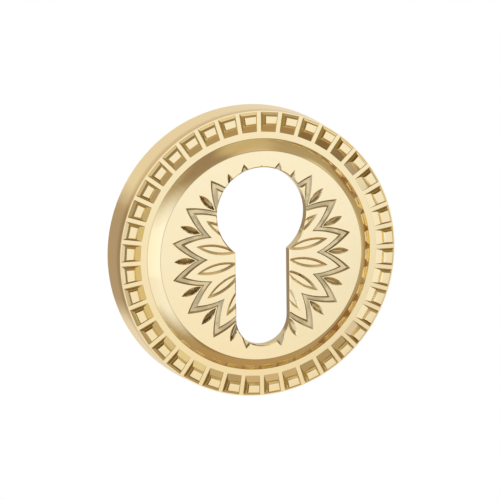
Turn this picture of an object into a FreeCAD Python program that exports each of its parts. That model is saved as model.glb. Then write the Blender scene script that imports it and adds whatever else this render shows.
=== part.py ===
import FreeCAD, Part
import math
import os
import Sketcher

os.makedirs("parts", exist_ok=True)
doc = FreeCAD.newDocument("keyhole_escutcheon")

# Sizes in millimetres. The back rim lies in the plane Y = 0 and the face looks toward -Y.
# The keyhole sets the size of the raised field, and each band outside it adds its own width.
SIZES = {
    # keyhole for a profile cylinder; its round part and its tail lie almost evenly about the axis
    "keyhole_radius": 8.7,
    "slot_half_width": 5.25,
    "keyhole_spacing": 19.6,
    "keyhole_drop": 0.175,
    "keyhole_edge": 0.2,
    # raised field round the keyhole, and the convex bevel that falls from it to the ring
    "keyhole_margin": 2.72,
    "field_rise": 1.35,
    "bevel_width": 2.13,
    "bevel_bulge": 0.1,
    # flat ring and the drafted side wall
    "ring_height": 7.2,
    "ring_width": 5.1,
    "wall_draft": 0.6,
    # hollow back
    "wall_thickness": 2.1,
    "ring_thickness": 1.8,
    "field_thickness": 2.0,
    "pocket_margin": 1.2,
    # square studs, at the sunk root, the shoulder and the flat top: rise above the ring,
    # distances from the ring's inner and outer edge, and gap to the next stud
    "stud_count": 40,
    "root_rise": -0.05,
    "root_inset": 1.13,
    "root_outset": 0.2,
    "root_gap": 0.74,
    "shoulder_rise": 0.5,
    "shoulder_inset": 2.4,
    "shoulder_outset": 0.64,
    "shoulder_gap": 1.4,
    "top_rise": 1.35,
    "top_inset": 2.54,
    "top_outset": 0.88,
    "top_gap": 1.9,
    # engraved sunburst: pointed front petals drawn by a channel with a flat floor
    "petal_count": 16,
    "petal_margin": 1.97,
    "petal_length": 5.05,
    "petal_bulge": 0.25,
    "channel_tip_width": 2.4,
    "channel_tip_wall": 0.65,
    "channel_valley_width": 2.05,
    "channel_valley_wall": 0.45,
    "channel_depth": 0.26,
    # almond hollow on each front petal, with a flat floor inside sloping walls
    "almond_margin": 2.2,
    "almond_length": 8.1,
    "almond_width": 1.9,
    "almond_inner_wall": 1.2,
    "almond_outer_wall": 1.2,
    "almond_side_wall": 0.5,
    "almond_depth": 0.3,
    # leaf hollow of each back petal, seen between two front petals and deepest near them
    "leaf_margin": 0.6,
    "leaf_length": 4.2,
    "leaf_width": 1.3,
    "leaf_inner_wall": 0.5,
    "leaf_outer_wall": 1.0,
    "leaf_side_wall": 0.58,
    "leaf_depth": 0.4,
}

sheet = doc.addObject("Spreadsheet::Sheet", "Sizes")
for row, (word, value) in enumerate(SIZES.items(), start=1):
    sheet.set(f"A{row}", word)
    sheet.set(f"B{row}", str(value))
    sheet.setAlias(f"B{row}", word)
doc.recompute()

# Radii and heights that follow from the sizes, as formulas, from the keyhole outward.
KEYHOLE_SPAN = "(Sizes.keyhole_spacing + Sizes.slot_half_width + Sizes.keyhole_radius)"
KEYHOLE_CENTRE = f"({KEYHOLE_SPAN} / 2 - Sizes.keyhole_radius - Sizes.keyhole_drop)"
FIELD_RADIUS = f"({KEYHOLE_SPAN} / 2 + Sizes.keyhole_drop + Sizes.keyhole_margin)"
RING_INNER = f"({FIELD_RADIUS} + Sizes.bevel_width)"
RING_OUTER = f"({RING_INNER} + Sizes.ring_width)"
WALL_RADIUS = f"({RING_OUTER} + Sizes.wall_draft)"
SOCKET_RADIUS = f"({WALL_RADIUS} - Sizes.wall_thickness)"
POCKET_RADIUS = f"({FIELD_RADIUS} - Sizes.pocket_margin)"
FIELD_HEIGHT = "(Sizes.ring_height + Sizes.field_rise)"
SOCKET_DEPTH = "(Sizes.ring_height - Sizes.ring_thickness)"
POCKET_DEPTH = f"({FIELD_HEIGHT} - Sizes.field_thickness)"
PETAL_TIP = f"({FIELD_RADIUS} - Sizes.petal_margin)"
PETAL_VALLEY = f"({PETAL_TIP} - Sizes.petal_length)"
CHANNEL_TIP = f"({PETAL_TIP} - Sizes.channel_tip_width)"
CHANNEL_VALLEY = f"({PETAL_VALLEY} - Sizes.channel_valley_width)"
HALF_STUD_TURN = "(180 deg / Sizes.stud_count)"
HALF_PETAL_TURN = "(180 deg / Sizes.petal_count)"
ZERO = "0"

# Sketch references: the origin point, and the ends and centre of a line or arc.
ORIGIN = (-1, 1)
START, END, CENTRE = range(1, 4)
SAME_PLACE = 1e-6

body = doc.addObject("PartDesign::Body", "Escutcheon")
body.Label = "escutcheon"
body.Placement = FreeCAD.Placement()


def measure(formula):
    """Present value of a formula."""
    return float(sheet.evalExpression(formula))


def vector(x, y):
    """Point of a sketch."""
    return FreeCAD.Vector(x, y, 0)


def origin_feature(role):
    """Plane or axis of the body's own origin."""
    return next(item for item in body.Origin.OriginFeatures if item.Role == role)


def new_sketch(name, plane, height=ZERO, turn=ZERO):
    """Sketch on an origin plane, raised and turned about its normal."""
    sketch = body.newObject("Sketcher::SketchObject", name)
    sketch.AttachmentSupport = [(origin_feature(plane), "")]
    sketch.MapMode = "FlatFace"
    sketch.setExpression("AttachmentOffset.Base.z", height)
    sketch.setExpression("AttachmentOffset.Rotation.Angle", turn)
    return sketch


def bind(sketch, kind, *where, formula):
    """Add one dimension and bind it to its formula."""
    index = sketch.addConstraint(Sketcher.Constraint(kind, *where, measure(formula)))
    sketch.setExpression(f"Constraints[{index}]", formula)


def pin(sketch, spot, across, along):
    """Hold a point by two formulas; a zero puts it on the axis."""
    for kind, axis, formula in (("DistanceX", -2, across), ("DistanceY", -1, along)):
        if formula == ZERO:
            sketch.addConstraint(Sketcher.Constraint("PointOnObject", *spot, axis))
        elif measure(formula) > 0:
            bind(sketch, kind, *ORIGIN, *spot, formula=formula)
        else:
            bind(sketch, kind, *spot, *ORIGIN, formula=f"-({formula})")


def polygon(sketch, corners):
    """Closed outline; a corner is two formulas, and a third if the side after it bulges."""
    places = [corner[:2] for corner in corners]
    spots = [vector(measure(across), measure(along)) for across, along in places]
    ends = []
    for side, (_, _, *bulge) in enumerate(corners):
        after = (side + 1) % len(corners)
        first = spots[side]
        last = spots[after]
        if not bulge:
            sketch.addGeometry(Part.LineSegment(first, last), False)
            ends.append((START, END))
            continue
        chord = last - first
        outward = vector(-chord.y, chord.x).normalize()
        arc = Part.Arc(first, (first + last) * 0.5 + outward * measure(*bulge), last)
        geo = sketch.addGeometry(arc, False)
        forward = (sketch.getPoint(geo, START) - first).Length < SAME_PLACE
        ends.append((START, END) if forward else (END, START))
        steps = [f"({far} - {near}) ^ 2" for near, far in zip(places[side], places[after])]
        reach = f"({steps[0]} + {steps[1]}) / 4"
        high = f"abs({bulge[0]})"
        bind(sketch, "Radius", geo, formula=f"({reach} + {high} ^ 2) / (2 * {high})")
    for side, (start, end) in enumerate(ends):
        after = (side + 1) % len(corners)
        link = Sketcher.Constraint("Coincident", side, end, after, ends[after][0])
        sketch.addConstraint(link)
        pin(sketch, (side, start), *places[side])


def pattern(name, feature, count_word):
    """Repeat a feature evenly round the axis of the disc."""
    repeat = body.newObject("PartDesign::PolarPattern", name)
    repeat.Originals = [feature]
    repeat.Axis = (origin_feature("Y_Axis"), [""])
    repeat.Angle = 360
    repeat.setExpression("Occurrences", f"Sizes.{count_word}")
    body.Tip = repeat
    doc.recompute()


# Shell of revolution: right half of the section, axis on Y.
section = new_sketch("ShellSection", "XY_Plane")
polygon(
    section,
    [
        (ZERO, f"-{FIELD_HEIGHT}"),
        (FIELD_RADIUS, f"-{FIELD_HEIGHT}", "-Sizes.bevel_bulge"),
        (RING_INNER, "-Sizes.ring_height"),
        (RING_OUTER, "-Sizes.ring_height"),
        (WALL_RADIUS, ZERO),
        (SOCKET_RADIUS, ZERO),
        (SOCKET_RADIUS, f"-{SOCKET_DEPTH}"),
        (POCKET_RADIUS, f"-{SOCKET_DEPTH}"),
        (POCKET_RADIUS, f"-{POCKET_DEPTH}"),
        (ZERO, f"-{POCKET_DEPTH}"),
    ],
)
shell = body.newObject("PartDesign::Revolution", "Shell")
shell.Profile = section
shell.ReferenceAxis = (section, ["V_Axis"])
shell.Angle = 360
doc.recompute()


def stud_section(level):
    """Trapezium of a stud at one level; its flanks run along the ribs beside it."""
    height = f"Sizes.ring_height + Sizes.{level}_rise"
    sketch = new_sketch(f"Stud{level.title()}", "XZ_Plane", height, HALF_STUD_TURN)
    inner = f"({RING_INNER} + Sizes.{level}_inset)"
    outer = f"({RING_OUTER} - Sizes.{level}_outset)"
    inner_half = f"({inner} * tan({HALF_STUD_TURN}) - Sizes.{level}_gap / 2)"
    outer_half = f"({outer} * tan({HALF_STUD_TURN}) - Sizes.{level}_gap / 2)"
    polygon(
        sketch,
        [
            (inner, f"-{inner_half}"),
            (outer, f"-{outer_half}"),
            (outer, outer_half),
            (inner, inner_half),
        ],
    )
    return sketch


# Studs: blunt square heads that stand on the flat ring and leave narrow ribs of it between them.
root, shoulder, top = [stud_section(level) for level in ("root", "shoulder", "top")]
stud = body.newObject("PartDesign::AdditiveLoft", "Stud")
stud.Profile = root
stud.Sections = [shoulder, top]
stud.Ruled = True
doc.recompute()
pattern("Studs", stud, "stud_count")

# Keyhole: a round hole with a slot below it that ends in a half circle.
keyhole_sketch = new_sketch("KeyholeOutline", "XZ_Plane")
radius = measure("Sizes.keyhole_radius")
half = measure("Sizes.slot_half_width")
centre = measure(KEYHOLE_CENTRE)
lower = centre - measure("Sizes.keyhole_spacing")
reach = math.acos(half / radius)
neck = centre - radius * math.sin(reach)
normal = FreeCAD.Vector(0, 0, 1)
arch = Part.Circle(vector(0, centre), normal, radius)
foot = Part.Circle(vector(0, lower), normal, half)
ARCH, LEFT, FOOT, RIGHT = range(4)
for outline in (
    Part.ArcOfCircle(arch, -reach, math.pi + reach),
    Part.LineSegment(vector(-half, neck), vector(-half, lower)),
    Part.ArcOfCircle(foot, math.pi, 2 * math.pi),
    Part.LineSegment(vector(half, lower), vector(half, neck)),
):
    keyhole_sketch.addGeometry(outline, False)
for link in (
    Sketcher.Constraint("Coincident", ARCH, END, LEFT, START),
    Sketcher.Constraint("Tangent", LEFT, END, FOOT, START),
    Sketcher.Constraint("Tangent", FOOT, END, RIGHT, START),
    Sketcher.Constraint("Coincident", RIGHT, END, ARCH, START),
    Sketcher.Constraint("Vertical", LEFT),
    Sketcher.Constraint("PointOnObject", ARCH, CENTRE, -2),
    Sketcher.Constraint("PointOnObject", FOOT, CENTRE, -2),
):
    keyhole_sketch.addConstraint(link)
bind(keyhole_sketch, "Radius", ARCH, formula="Sizes.keyhole_radius")
bind(keyhole_sketch, "Radius", FOOT, formula="Sizes.slot_half_width")
bind(keyhole_sketch, "DistanceY", *ORIGIN, ARCH, CENTRE, formula=KEYHOLE_CENTRE)
apart = (FOOT, CENTRE, ARCH, CENTRE)
bind(keyhole_sketch, "DistanceY", *apart, formula="Sizes.keyhole_spacing")
keyhole = body.newObject("PartDesign::Pocket", "Keyhole")
keyhole.Profile = keyhole_sketch
keyhole.Type = "ThroughAll"
keyhole.Midplane = True
doc.recompute()

# Softened front edge of the keyhole: the edges in the field's plane that lie inside its rim.
front = -measure(FIELD_HEIGHT)
field_radius = measure(FIELD_RADIUS)
rim_edges = []
for number, edge in enumerate(keyhole.Shape.Edges, start=1):
    box = edge.BoundBox
    in_plane = abs(box.YMin - front) < SAME_PLACE and abs(box.YMax - front) < SAME_PLACE
    inside = all(math.hypot(v.X, v.Z) < field_radius - SAME_PLACE for v in edge.Vertexes)
    if in_plane and inside:
        rim_edges.append(f"Edge{number}")
soft_edge = body.newObject("PartDesign::Chamfer", "KeyholeEdge")
soft_edge.Base = (keyhole, rim_edges)
soft_edge.setExpression("Size", "Sizes.keyhole_edge")
doc.recompute()


def valley(reach, side):
    """Corner between two petals, on one side of the petal's own axis."""
    across = f"({reach} * cos({HALF_PETAL_TURN}))"
    along = f"({side} * {reach} * sin({HALF_PETAL_TURN}))"
    return across, along


def channel_section(name, height, tip_wall, valley_wall):
    """Outline of one tooth of the channel, narrowed on both sides by its sloping walls."""
    sketch = new_sketch(name, "XZ_Plane", height, HALF_PETAL_TURN)
    outer_tip = f"({PETAL_TIP} - {tip_wall})"
    inner_tip = f"({CHANNEL_TIP} + {tip_wall})"
    outer_valley = f"({PETAL_VALLEY} - {valley_wall})"
    inner_valley = f"({CHANNEL_VALLEY} + {valley_wall})"
    polygon(
        sketch,
        [
            (outer_tip, ZERO, "-Sizes.petal_bulge"),
            valley(outer_valley, 1),
            (*valley(inner_valley, 1), "Sizes.petal_bulge"),
            (inner_tip, ZERO, "Sizes.petal_bulge"),
            valley(inner_valley, -1),
            (*valley(outer_valley, -1), "-Sizes.petal_bulge"),
        ],
    )
    return sketch


# Channel that draws the front petals: one tooth of it, repeated.
channel = body.newObject("PartDesign::SubtractiveLoft", "PetalChannel")
channel_floor = f"{FIELD_HEIGHT} - Sizes.channel_depth"
channel.Profile = channel_section("ChannelMouth", FIELD_HEIGHT, ZERO, ZERO)
channel.Sections = [
    channel_section(
        "ChannelFloor", channel_floor, "Sizes.channel_tip_wall", "Sizes.channel_valley_wall"
    )
]
channel.Ruled = True
doc.recompute()
pattern("PetalChannels", channel, "petal_count")


def lens(name, height, turn, inner, outer, half_width):
    """Pointed outline on a radius of the field, closed by two equal arcs."""
    sketch = new_sketch(name, "XZ_Plane", height, turn)
    polygon(sketch, [(inner, ZERO, half_width), (outer, ZERO, half_width)])
    return sketch


def hollow(name, turn, outer):
    """Pointed hollow with sloping walls and a flat floor, up to an outer radius."""
    kind = f"Sizes.{name.lower()}"
    inner = f"({outer} - {kind}_length)"
    floor_height = f"{FIELD_HEIGHT} - {kind}_depth"
    floor_inner = f"({inner} + {kind}_inner_wall)"
    floor_outer = f"({outer} - {kind}_outer_wall)"
    mouth_half = f"({kind}_width / 2)"
    floor_half = f"({kind}_width / 2 - {kind}_side_wall)"
    mouth = lens(f"{name}Mouth", FIELD_HEIGHT, turn, inner, outer, mouth_half)
    floor = lens(f"{name}Floor", floor_height, turn, floor_inner, floor_outer, floor_half)
    cut = body.newObject("PartDesign::SubtractiveLoft", name)
    cut.Profile = mouth
    cut.Sections = [floor]
    cut.Ruled = True
    doc.recompute()
    return cut


# Almonds lie on the front petals, half a turn of the pattern away from the first back petal.
almond = hollow("Almond", HALF_PETAL_TURN, f"({CHANNEL_TIP} - Sizes.almond_margin)")
pattern("Almonds", almond, "petal_count")

# Leaves lie on the back petals, seen between two front petals.
leaf = hollow("Leaf", ZERO, f"({PETAL_TIP} - Sizes.leaf_margin)")
pattern("Leaves", leaf, "petal_count")

doc.recompute()
for item in doc.Objects:
    if "Invalid" in item.State or "Error" in item.State:
        raise RuntimeError(f"{item.Name}: {item.State}")
if body.Shape.isNull() or not body.Shape.isValid():
    raise RuntimeError("the escutcheon's shape is not valid")
if len(body.Shape.Solids) != 1:
    raise RuntimeError("the escutcheon is one solid")
body.Shape.exportStep(f"parts/{body.Label}.step")
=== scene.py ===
import math

import bmesh
import bpy
from mathutils import Matrix, Vector


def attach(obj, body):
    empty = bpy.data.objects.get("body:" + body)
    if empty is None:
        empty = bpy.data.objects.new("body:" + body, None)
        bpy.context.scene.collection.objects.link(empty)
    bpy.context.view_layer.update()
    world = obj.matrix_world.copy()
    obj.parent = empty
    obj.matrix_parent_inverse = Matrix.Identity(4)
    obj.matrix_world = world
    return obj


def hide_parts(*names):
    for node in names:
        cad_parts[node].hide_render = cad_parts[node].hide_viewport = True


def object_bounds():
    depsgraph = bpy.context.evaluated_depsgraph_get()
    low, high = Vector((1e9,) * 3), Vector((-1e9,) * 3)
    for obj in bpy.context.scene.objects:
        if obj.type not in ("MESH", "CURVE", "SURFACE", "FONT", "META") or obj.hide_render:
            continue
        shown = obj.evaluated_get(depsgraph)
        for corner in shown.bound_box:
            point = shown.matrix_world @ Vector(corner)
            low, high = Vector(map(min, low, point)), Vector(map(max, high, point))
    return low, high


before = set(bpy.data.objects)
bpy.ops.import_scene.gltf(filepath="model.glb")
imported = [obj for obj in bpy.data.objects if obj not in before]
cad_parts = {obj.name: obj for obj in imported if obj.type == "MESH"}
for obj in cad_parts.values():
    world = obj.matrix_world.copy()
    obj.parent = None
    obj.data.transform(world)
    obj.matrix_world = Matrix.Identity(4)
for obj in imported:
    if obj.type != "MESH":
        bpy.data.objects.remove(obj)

cad_low, cad_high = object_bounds()

MM = 0.001

# Camera of the photograph: it looks down on the face from the left.
AZIMUTH = math.radians(-18.126)
ELEVATION = math.radians(10.212)
ROLL = math.radians(0.677)
DISTANCE = 355.98 * MM
FOCAL_PIXELS = 1910.55
PICTURE = 500
SENSOR = 36.0
FACE_CENTRE = Vector((0, -7.2 * MM, 0))
FACE_PIXEL = (260.48, 254.91)

# What the camera shows, from nearest to farthest, in metres.
NEAREST = 0.01
FARTHEST = 100

# Zones of the casting. Depths are measured back from the front plane.
FRONT = cad_low[1]
FIELD_RADIUS = 19.67 * MM
RING_INNER = 21.8 * MM
RING_OUTER = 26.9 * MM
RING_DEPTH = 1.35 * MM
SHOULDER_DEPTH = 0.85 * MM
CHANNEL_DEPTH = 0.26 * MM
ALMOND_DEPTH = 0.3 * MM
LEAF_DEPTH = 0.4 * MM
KEYHOLE_REACH = 17.5 * MM
SAME_DEPTH = 0.02 * MM
# Depth at which the painted shade on the side wall has faded out.
WALL_SHADE_FADE = 4.4 * MM

# Cleaning of the solid's mesh: points that are one, and faces that are one plane.
SAME_PLACE = 0.002 * MM
SAME_PLANE = math.radians(0.4)

# Softened edges: width of the round and its steps.
STUD_MIDDLE = 25.2 * MM
INNER_ROUND = 0.45 * MM
TOP_ROUND = 0.18 * MM
TOP_STEPS = 6
SHOULDER_ROUND = 0.1 * MM
SHOULDER_STEPS = 3
ROOT_ROUND = 0.1 * MM
ROOT_STEPS = 2
RIM_ROUND = 0.09 * MM
RIM_STEPS = 2
EDGE_WIDTH = 0.06 * MM
EDGE_STEPS = 2
SHARP = math.radians(14)

# Colours of the metal: polished field and ring, the painted shade on the front of the side wall,
# the frosted floor of the channel, the painted shade in cuts, and the painted shade in narrow
# corners.
FIELD_GOLD = (0.97, 0.85, 0.58)
RING_GOLD = (0.94, 0.80, 0.51)
WALL_PAINTED_SHADE = (0.62, 0.44, 0.20)
FLOOR_LIGHT = (0.90, 0.80, 0.58)
FLOOR_DARK = (0.64, 0.57, 0.40)
CUT_PAINTED_SHADE = (0.16, 0.11, 0.05)
CORNER_PAINTED_SHADE = (0.20, 0.16, 0.08)

# Share of the cuts' shade on each kind of face.
WALL_SHARE = 0.62
OVAL_UPPER_SHARE = 0.45
OVAL_LOWER_SHARE = 0.22
LEAF_UPPER_SHARE = 0.3
LEAF_LEFT_SHARE = 0.9
LEAF_RIGHT_SHARE = 0.5
KEYHOLE_SHARE = 0.4
FLANK_SHARE = 0.2
STEP_SHARE = 0.42
INNER_STEP_SHARE = 0.1
ROOT_SHARE = 0.62
RIM_SHARE = 0.28

# Parts of a face's unit normal: to the front where a face is steep, to the next stud on a
# flank, and to the middle on an inner step.
STEEP = 0.6
FLANK_LEAN = 0.5
INWARD = 0.3

# Shade in corners: how far it looks round, with how many rays, and the open share of the
# surroundings where it begins and is full.
CORNER_REACH = 0.7 * MM
CORNER_RAYS = 8
CORNER_BEGINS = 0.8
CORNER_FULL = 0.3

# Unevenness of the finish: scale and detail of each noise, and its range that counts.
CLOUD_NOISE = (260, 3)
CLOUD_RANGE = (0.3, 0.75)
CLOUD_SHARE = 0.22
MOTTLE_NOISE = (300, 4)
MOTTLE_RANGE = (0.42, 0.58)
WEAR_NOISE = (900, 4)
WEAR_RANGE = (0.25, 0.75)
WAVE_NOISE = (350, 2)
STIPPLE_NOISE = (9000, 2)

# Roughness of the polish, from least to most, and of the frosted floor. Then the small
# waves of the polish and the stipple of the floor.
POLISH_ROUGHNESS = (0.07, 0.13)
FROST_ROUGHNESS = 0.36
WAVE_STRENGTH = 0.08
STIPPLE_STRENGTH = 0.8
BUMP_HEIGHT = 0.02 * MM

# Tan tent round the object: direction as azimuth and elevation, the angles round it
# where a shade is full and gone, and the shade.
TENT_RADIUS = 1.2
TENT_STEPS = 4
TENT_TAN = (0.45, 0.36, 0.22)
TENT_SHADES = (
    ((-18, 48), 10, 26, (0.34, 0.25, 0.16)),
    ((18, 58), 10, 22, (0.60, 0.49, 0.29)),
    ((18, 36), 6, 16, (0.67, 0.53, 0.36)),
    ((0, 90), 16, 28, (0.86, 0.75, 0.52)),
    ((-78, 50), 14, 28, (0.73, 0.63, 0.45)),
    ((20, -68), 14, 40, (0.46, 0.31, 0.15)),
    ((-4, -42), 8, 20, (0.24, 0.16, 0.08)),
    ((8, -18), 10, 18, (0.88, 0.72, 0.42)),
    ((56, -8), 10, 20, (0.74, 0.62, 0.36)),
    ((48, 20), 6, 14, (0.82, 0.74, 0.50)),
    ((40, -6), 6, 14, (0.93, 0.81, 0.38)),
    ((92, -8), 8, 14, (0.30, 0.14, 0.05)),
    ((93, -38), 12, 20, (0.30, 0.14, 0.05)),
    ((82, 20), 6, 12, (0.30, 0.15, 0.06)),
    ((180, 0), 30, 46, (0.84, 0.75, 0.60)),
    ((-161, -6), 13, 21, (0.46, 0.36, 0.25)),
    ((120, -8), 12, 20, (0.92, 0.82, 0.60)),
    ((112, 30), 14, 24, (0.92, 0.83, 0.62)),
    ((126, -33), 8, 18, (0.64, 0.52, 0.26)),
)
# Openings of the tent, as directions with the angles where they are full and gone, and the
# curtain that closes their left edge.
OPENINGS = (
    ((-64, -10), 24, 36),
    ((-45, -10), 22, 48),
    ((-25, -8), 20, 34),
    ((18, -2), 5, 24),
)
CURTAIN = ((-106, -5), 12, 22)

# Room: its light on plain surfaces, its white for the camera and for reflections, and the
# floor's grey, half width and height.
ROOM_LIGHT = 0.8
ROOM_WHITE = 1.0
FLOOR_GREY = 0.9
FLOOR_HALF = 4.0
FLOOR_HEIGHT = -1.5

# Lamp: size, power, direction as azimuth and elevation, and distance.
LAMP_WIDTH = 1.2
LAMP_HEIGHT = 0.8
LAMP_POWER = 0.3
LAMP_DIRECTION = (-52, -4)
LAMP_DISTANCE = 1.6


def new_material(name):
    material = bpy.data.materials.new(name)
    material.use_nodes = True
    material.node_tree.nodes.clear()
    return material, material.node_tree


def add_node(tree, kind, **settings):
    made = tree.nodes.new(kind)
    for key, value in settings.items():
        setattr(made, key, value)
    return made


def math_node(tree, operation, first, second=None):
    """Output of one Math node; a number goes to its socket and a socket is linked."""
    made = add_node(tree, "ShaderNodeMath", operation=operation)
    for slot, value in enumerate((first, second)):
        if value is None:
            continue
        if isinstance(value, (int, float)):
            made.inputs[slot].default_value = value
        else:
            tree.links.new(value, made.inputs[slot])
    return made.outputs[0]


def ramp(tree, value, low, high, start=0.0, end=1.0):
    """Value taken smoothly from one range to another."""
    made = add_node(tree, "ShaderNodeMapRange", interpolation_type="SMOOTHSTEP")
    tree.links.new(value, made.inputs["Value"])
    made.inputs["From Min"].default_value = low
    made.inputs["From Max"].default_value = high
    made.inputs["To Min"].default_value = start
    made.inputs["To Max"].default_value = end
    return made.outputs[0]


def blend(tree, factor, first, second):
    """Mix of two colours; each is a colour or a socket."""
    made = add_node(tree, "ShaderNodeMix", data_type="RGBA")
    for slot, value in (("A", first), ("B", second)):
        if isinstance(value, tuple):
            made.inputs[slot].default_value = (*value, 1)
        else:
            tree.links.new(value, made.inputs[slot])
    tree.links.new(factor, made.inputs["Factor"])
    return made.outputs["Result"]


def noise(tree, place, scale, detail):
    """Socket of a noise in the piece's own coordinates."""
    made = add_node(tree, "ShaderNodeTexNoise")
    made.inputs["Scale"].default_value = scale
    made.inputs["Detail"].default_value = detail
    tree.links.new(place, made.inputs["Vector"])
    return made.outputs["Fac"]


def gold_material():
    """Polished pale gold, deeper on the ring, frosted in the channel, with painted shade in corners,
    in cuts and on the front of the side wall.
    """
    material, tree = new_material("gold_brass")
    link = tree.links.new
    out = add_node(tree, "ShaderNodeOutputMaterial")
    metal = add_node(tree, "ShaderNodeBsdfPrincipled")
    metal.inputs["Metallic"].default_value = 1.0
    link(metal.outputs[0], out.inputs["Surface"])

    place = add_node(tree, "ShaderNodeTexCoord").outputs["Object"]
    axes = add_node(tree, "ShaderNodeSeparateXYZ")
    link(place, axes.inputs[0])
    flat = add_node(tree, "ShaderNodeCombineXYZ")
    link(axes.outputs["X"], flat.inputs["X"])
    link(axes.outputs["Z"], flat.inputs["Z"])
    distance = add_node(tree, "ShaderNodeVectorMath", operation="LENGTH")
    link(flat.outputs[0], distance.inputs[0])
    radius = distance.outputs["Value"]
    on_ring = ramp(tree, radius, FIELD_RADIUS, RING_INNER)
    on_wall = ramp(tree, radius, RING_OUTER, RING_OUTER + EDGE_WIDTH)
    wall_shade_near_front = ramp(tree, axes.outputs["Y"], FRONT + WALL_SHADE_FADE, FRONT + RING_DEPTH)
    frosted = add_node(tree, "ShaderNodeAttribute", attribute_name="frosted").outputs["Fac"]
    painted_shade = add_node(tree, "ShaderNodeAttribute", attribute_name="painted_shade").outputs["Fac"]
    # Painted shade in narrow corners, where the surroundings are least open.
    open_sky = add_node(tree, "ShaderNodeAmbientOcclusion", samples=CORNER_RAYS)
    open_sky.inputs["Distance"].default_value = CORNER_REACH
    corner = ramp(tree, open_sky.outputs["AO"], CORNER_BEGINS, CORNER_FULL)

    cloudy = ramp(tree, noise(tree, place, *CLOUD_NOISE), *CLOUD_RANGE)
    patina = math_node(tree, "MULTIPLY", cloudy, CLOUD_SHARE)
    mottled = ramp(tree, noise(tree, place, *MOTTLE_NOISE), *MOTTLE_RANGE)
    floor = blend(tree, mottled, FLOOR_LIGHT, FLOOR_DARK)
    colour = blend(tree, on_ring, FIELD_GOLD, RING_GOLD)
    colour = blend(tree, patina, colour, RING_GOLD)
    # Painted shade on the side wall, full at the ring's depth and faded out further back.
    colour = blend(tree, math_node(tree, "MULTIPLY", on_wall, wall_shade_near_front), colour, WALL_PAINTED_SHADE)
    # Painted shade in cuts, on the studs' steps, flanks and roots, and on the rims, by the marks set
    # on the faces.
    colour = blend(tree, painted_shade, colour, CUT_PAINTED_SHADE)
    colour = blend(tree, frosted, colour, floor)
    colour = blend(tree, corner, colour, CORNER_PAINTED_SHADE)
    link(colour, metal.inputs["Base Color"])

    worn = ramp(tree, noise(tree, place, *WEAR_NOISE), *WEAR_RANGE, *POLISH_ROUGHNESS)
    matte = math_node(tree, "MULTIPLY", frosted, FROST_ROUGHNESS)
    link(math_node(tree, "MAXIMUM", worn, matte), metal.inputs["Roughness"])

    waves = add_node(tree, "ShaderNodeBump")
    waves.inputs["Strength"].default_value = WAVE_STRENGTH
    waves.inputs["Distance"].default_value = BUMP_HEIGHT
    link(noise(tree, place, *WAVE_NOISE), waves.inputs["Height"])
    stipple = add_node(tree, "ShaderNodeBump")
    stipple.inputs["Distance"].default_value = BUMP_HEIGHT
    link(math_node(tree, "MULTIPLY", frosted, STIPPLE_STRENGTH), stipple.inputs["Strength"])
    link(noise(tree, place, *STIPPLE_NOISE), stipple.inputs["Height"])
    link(waves.outputs["Normal"], stipple.inputs["Normal"])
    link(stipple.outputs["Normal"], metal.inputs["Normal"])
    return material


def depth(vert):
    """How far a point lies behind the front plane."""
    return vert.co.y - FRONT


def reach(vert):
    """How far a point lies from the casting's axis."""
    return math.hypot(vert.co.x, vert.co.z)


def deepest_point(face):
    return max(depth(vert) for vert in face.verts)


def farthest_point(face):
    return max(reach(vert) for vert in face.verts)


def among_studs(part):
    """Whether a face or an edge lies within the ring of studs."""
    inner = RING_INNER + EDGE_WIDTH
    outer = RING_OUTER - EDGE_WIDTH
    return all(inner < reach(vert) < outer for vert in part.verts)


def mark_engraving(shape, frosted, painted_shade):
    """Sets frosted on the channel's floor, and painted shade on its walls, in the ovals and in the
    keyhole.
    """
    for face in shape.faces:
        farthest = farthest_point(face)
        if farthest > FIELD_RADIUS:
            continue
        deepest = deepest_point(face)
        level = deepest - min(depth(vert) for vert in face.verts) < SAME_DEPTH
        steep = abs(face.normal.y) < STEEP
        if farthest < KEYHOLE_REACH and deepest > LEAF_DEPTH + SAME_DEPTH and steep:
            face[painted_shade] = KEYHOLE_SHARE
        if abs(deepest - CHANNEL_DEPTH) < SAME_DEPTH:
            if level:
                face[frosted] = 1.0
            else:
                face[painted_shade] = WALL_SHARE
        elif abs(deepest - ALMOND_DEPTH) < SAME_DEPTH and not level:
            # Painted shade: darker on the ovals' upper walls, which face down, than on their lower
            # walls.
            if face.normal.z > 0.0:
                face[painted_shade] = OVAL_LOWER_SHARE
            else:
                face[painted_shade] = OVAL_UPPER_SHARE


def leaf_faces(shape):
    """The faces of the leaf-shaped hollows: what joins their deepest faces below the field."""
    found = set()
    waiting = []
    for face in shape.faces:
        inside = farthest_point(face) < FIELD_RADIUS
        if inside and abs(deepest_point(face) - LEAF_DEPTH) < SAME_DEPTH:
            waiting.append(face)
    while waiting:
        face = waiting.pop()
        if face in found:
            continue
        found.add(face)
        for edge in face.edges:
            if any(depth(vert) <= SAME_DEPTH for vert in edge.verts):
                continue
            for beside in edge.link_faces:
                deepest = deepest_point(beside)
                in_channel = abs(deepest - CHANNEL_DEPTH) <= SAME_DEPTH
                if deepest < LEAF_DEPTH + SAME_DEPTH and not in_channel:
                    waiting.append(beside)
    return found


def mark_leaves(shape, painted_shade):
    """Paints shade in the leaves: light where they face down, darker where they face up, and darkest
    on the left.
    """
    for face in leaf_faces(shape):
        if face.normal.z < 0.0:
            face[painted_shade] = LEAF_UPPER_SHARE
        elif face.calc_center_median().x < 0.0:
            face[painted_shade] = LEAF_LEFT_SHARE
        else:
            face[painted_shade] = LEAF_RIGHT_SHARE


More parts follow.
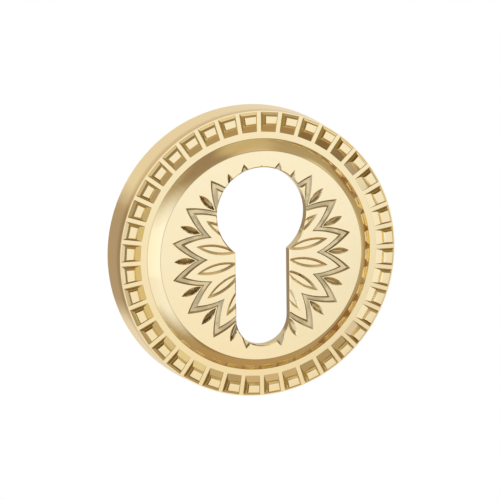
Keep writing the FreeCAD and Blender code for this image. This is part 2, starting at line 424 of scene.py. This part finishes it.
def mark_flanks(shape, painted_shade):
    """Paints shade on the studs' steep steps and on the flanks that face the next stud; less on
    steps that face the middle.
    """
    for face in shape.faces:
        if not among_studs(face) or deepest_point(face) >= RING_DEPTH + SAME_DEPTH:
            continue
        middle = face.calc_center_median()
        across = (middle.x * face.normal.z - middle.z * face.normal.x) / middle.length
        inward = -(middle.x * face.normal.x + middle.z * face.normal.z) / middle.length
        if abs(face.normal.y) >= STEEP:
            if abs(across) > FLANK_LEAN:
                face[painted_shade] = FLANK_SHARE
        elif inward > INWARD:
            face[painted_shade] = INNER_STEP_SHARE
        else:
            face[painted_shade] = STEP_SHARE


def stud_edges(shape, shallow, deep):
    """Sharp edges of the studs whose ends lie between two depths."""
    found = []
    front = shallow - SAME_DEPTH
    back = deep + SAME_DEPTH
    for edge in shape.edges:
        within = all(front < depth(vert) < back for vert in edge.verts)
        if within and among_studs(edge) and len(edge.link_faces) == 2:
            if edge.calc_face_angle() > SHARP:
                found.append(edge)
    return found


def soften(shape, edges, width, steps):
    """Rounds the edges, and gives the faces that this makes."""
    made = bmesh.ops.bevel(
        shape, geom=edges, offset=width, offset_type="OFFSET", segments=steps,
        profile=0.5, affect="EDGES", clamp_overlap=True,
    )
    return made["faces"]


def round_rims(shape, painted_shade):
    """Rounds the bevel's upper and lower rim, and paints shade on the rounds."""
    for radius, level in ((FIELD_RADIUS, 0.0), (RING_INNER, RING_DEPTH)):
        rim = []
        for edge in shape.edges:
            on_rim = all(abs(reach(vert) - radius) < EDGE_WIDTH for vert in edge.verts)
            level_rim = all(abs(depth(vert) - level) < SAME_DEPTH for vert in edge.verts)
            if on_rim and level_rim and len(edge.link_faces) == 2:
                rim.append(edge)
        for face in soften(shape, rim, RIM_ROUND, RIM_STEPS):
            face[painted_shade] = RIM_SHARE


def round_studs(shape, painted_shade):
    """Cushions the studs' inner edges, rounds the others, and fillets shoulders and roots, with
    painted shade on the root fillets.
    """
    inner = []
    for edge in stud_edges(shape, 0.0, 0.0):
        if all(reach(vert) < STUD_MIDDLE for vert in edge.verts):
            inner.append(edge)
    soften(shape, inner, INNER_ROUND, TOP_STEPS)
    tops = stud_edges(shape, 0.0, SHOULDER_DEPTH - 2 * SAME_DEPTH)
    soften(shape, tops, TOP_ROUND, TOP_STEPS)
    shoulders = stud_edges(shape, SHOULDER_DEPTH, SHOULDER_DEPTH)
    soften(shape, shoulders, SHOULDER_ROUND, SHOULDER_STEPS)
    roots = stud_edges(shape, RING_DEPTH, RING_DEPTH)
    for face in soften(shape, roots, ROOT_ROUND, ROOT_STEPS):
        face[painted_shade] = ROOT_SHARE


def casting(node_name, material):
    """The whole escutcheon from its solid, with softened edges and smooth faces."""
    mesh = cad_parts[node_name].data.copy()
    mesh.materials.clear()
    mesh.materials.append(material)
    shape = bmesh.new()
    shape.from_mesh(mesh)
    bmesh.ops.remove_doubles(shape, verts=shape.verts, dist=SAME_PLACE)
    bmesh.ops.dissolve_limit(
        shape, angle_limit=SAME_PLANE, verts=shape.verts, edges=shape.edges
    )
    frosted = shape.faces.layers.float.new("frosted")
    painted_shade = shape.faces.layers.float.new("painted_shade")
    mark_engraving(shape, frosted, painted_shade)
    mark_leaves(shape, painted_shade)
    mark_flanks(shape, painted_shade)
    round_rims(shape, painted_shade)
    round_studs(shape, painted_shade)
    for face in shape.faces:
        face.smooth = True
    for edge in shape.edges:
        edge.smooth = len(edge.link_faces) != 2 or edge.calc_face_angle() < SHARP
    shape.to_mesh(mesh)
    shape.free()
    piece = bpy.data.objects.new(f"{node_name}_casting", mesh)
    bpy.context.scene.collection.objects.link(piece)
    edges = piece.modifiers.new("soft_edges", "BEVEL")
    edges.width = EDGE_WIDTH
    edges.segments = EDGE_STEPS
    edges.limit_method = "ANGLE"
    edges.angle_limit = SHARP
    edges.use_clamp_overlap = True
    piece.modifiers.new("even_normals", "WEIGHTED_NORMAL")
    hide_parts(node_name)
    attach(piece, "root")
    return piece


def stage_piece(name, mesh, material):
    """Object of the studio, which isn't part of the escutcheon."""
    mesh.materials.append(material)
    made = bpy.data.objects.new(name, mesh)
    bpy.context.scene.collection.objects.link(made)
    return made


def watched(tree):
    """Socket that is 1 for camera, glossy and transmission rays."""
    path = add_node(tree, "ShaderNodeLightPath").outputs
    shiny = math_node(tree, "MAXIMUM", path["Is Glossy Ray"], path["Is Transmission Ray"])
    return math_node(tree, "MAXIMUM", path["Is Camera Ray"], shiny)


def build_world():
    """Plain soft light; the camera and shiny surfaces see it as white."""
    world = bpy.data.worlds.new("studio")
    bpy.context.scene.world = world
    world.use_nodes = True
    tree = world.node_tree
    tree.nodes.clear()
    soft = add_node(tree, "ShaderNodeBackground")
    soft.inputs["Strength"].default_value = ROOM_LIGHT
    white = add_node(tree, "ShaderNodeBackground")
    white.inputs["Strength"].default_value = ROOM_WHITE
    for light in (soft, white):
        light.inputs["Color"].default_value = (1, 1, 1, 1)
    mix = add_node(tree, "ShaderNodeMixShader")
    out = add_node(tree, "ShaderNodeOutputWorld")
    tree.links.new(watched(tree), mix.inputs["Fac"])
    tree.links.new(soft.outputs[0], mix.inputs[1])
    tree.links.new(white.outputs[0], mix.inputs[2])
    tree.links.new(mix.outputs[0], out.inputs["Surface"])


def build_floor():
    """Pale floor, white to the camera and to shiny surfaces."""
    material, tree = new_material("pale_floor")
    matte = add_node(tree, "ShaderNodeBsdfDiffuse")
    matte.inputs["Color"].default_value = (FLOOR_GREY, FLOOR_GREY, FLOOR_GREY, 1)
    white = add_node(tree, "ShaderNodeEmission")
    white.inputs["Strength"].default_value = ROOM_WHITE
    mix = add_node(tree, "ShaderNodeMixShader")
    out = add_node(tree, "ShaderNodeOutputMaterial")
    tree.links.new(watched(tree), mix.inputs["Fac"])
    tree.links.new(matte.outputs[0], mix.inputs[1])
    tree.links.new(white.outputs[0], mix.inputs[2])
    tree.links.new(mix.outputs[0], out.inputs["Surface"])
    corners = []
    for x, y in ((-1, -1), (1, -1), (1, 1), (-1, 1)):
        corners.append((x * FLOOR_HALF, y * FLOOR_HALF, FLOOR_HEIGHT))
    mesh = bpy.data.meshes.new("floor")
    mesh.from_pydata(corners, [], [(0, 1, 2, 3)])
    stage_piece("floor", mesh, material)


def towards(azimuth, elevation):
    """Unit vector; azimuth 0 is out of the face and turns towards +X."""
    turn = math.radians(azimuth)
    rise = math.radians(elevation)
    out = math.cos(rise)
    return Vector((math.sin(turn) * out, -math.cos(turn) * out, math.sin(rise)))


def lobe(tree, direction, centre, full, gone):
    """Socket that is 1 within an angle round a direction and fades to 0."""
    dot = add_node(tree, "ShaderNodeVectorMath", operation="DOT_PRODUCT")
    tree.links.new(direction, dot.inputs[0])
    dot.inputs[1].default_value = towards(*centre)
    angle = math_node(tree, "ARCCOSINE", dot.outputs["Value"])
    return ramp(tree, angle, math.radians(gone), math.radians(full))


def tent_material():
    """Tan cloth round the object, open towards the white room at the front left."""
    material, tree = new_material("tent_cloth")
    link = tree.links.new
    unit = add_node(tree, "ShaderNodeVectorMath", operation="NORMALIZE")
    link(add_node(tree, "ShaderNodeTexCoord").outputs["Object"], unit.inputs[0])
    direction = unit.outputs[0]
    colour = TENT_TAN
    for centre, full, gone, shade in TENT_SHADES:
        colour = blend(tree, lobe(tree, direction, centre, full, gone), colour, shade)
    cloth = add_node(tree, "ShaderNodeEmission")
    link(colour, cloth.inputs["Color"])
    opening = 0.0
    for centre, full, gone in OPENINGS:
        opening = math_node(tree, "MAXIMUM", lobe(tree, direction, centre, full, gone), opening)
    curtain = lobe(tree, direction, *CURTAIN)
    opening = math_node(tree, "MULTIPLY", opening, math_node(tree, "SUBTRACT", 1.0, curtain))
    clear = add_node(tree, "ShaderNodeBsdfTransparent")
    mix = add_node(tree, "ShaderNodeMixShader")
    out = add_node(tree, "ShaderNodeOutputMaterial")
    link(opening, mix.inputs["Fac"])
    link(cloth.outputs[0], mix.inputs[1])
    link(clear.outputs[0], mix.inputs[2])
    link(mix.outputs[0], out.inputs["Surface"])
    return material


def build_tent():
    """The tent as a ball round the object, which only shiny surfaces see."""
    mesh = bpy.data.meshes.new("tent")
    shape = bmesh.new()
    bmesh.ops.create_icosphere(shape, subdivisions=TENT_STEPS, radius=TENT_RADIUS)
    shape.to_mesh(mesh)
    shape.free()
    tent = stage_piece("tent", mesh, tent_material())
    tent.visible_camera = False
    tent.visible_shadow = False
    tent.visible_diffuse = False


def build_lamp():
    """Large soft lamp outside the tent's opening."""
    lamp = bpy.data.lights.new("window", "AREA")
    lamp.shape = "RECTANGLE"
    lamp.size = LAMP_WIDTH
    lamp.size_y = LAMP_HEIGHT
    lamp.energy = LAMP_POWER
    made = bpy.data.objects.new("window", lamp)
    way = towards(*LAMP_DIRECTION)
    turned = way.to_track_quat("Z", "Y").to_matrix().to_4x4()
    made.matrix_world = Matrix.Translation(way * LAMP_DISTANCE) @ turned
    bpy.context.scene.collection.objects.link(made)


def build_camera():
    """Camera of the photograph, turned so that the face lands where the photograph has it."""
    back = towards(math.degrees(AZIMUTH), math.degrees(ELEVATION))
    right = Vector((math.cos(AZIMUTH), math.sin(AZIMUTH), 0))
    axes = Matrix((right, back.cross(right), back)).transposed().to_4x4()
    spin = Matrix.Rotation(-ROLL, 4, "Z")
    aside = math.atan((FACE_PIXEL[0] - PICTURE / 2) / FOCAL_PIXELS)
    above = math.atan((FACE_PIXEL[1] - PICTURE / 2) / FOCAL_PIXELS)
    aim = Matrix.Rotation(aside, 4, "Y") @ Matrix.Rotation(above, 4, "X")
    camera = bpy.data.objects.new("camera", bpy.data.cameras.new("camera"))
    camera.data.sensor_width = SENSOR
    camera.data.lens = FOCAL_PIXELS * SENSOR / PICTURE
    camera.data.clip_start = NEAREST
    camera.data.clip_end = FARTHEST
    place = Matrix.Translation(FACE_CENTRE + back * DISTANCE)
    camera.matrix_world = place @ axes @ spin @ aim
    bpy.context.scene.collection.objects.link(camera)
    bpy.context.scene.camera = camera


casting("escutcheon", gold_material())
build_world()
build_floor()
build_tent()
build_lamp()
build_camera()
bpy.context.scene.view_settings.view_transform = "Standard"
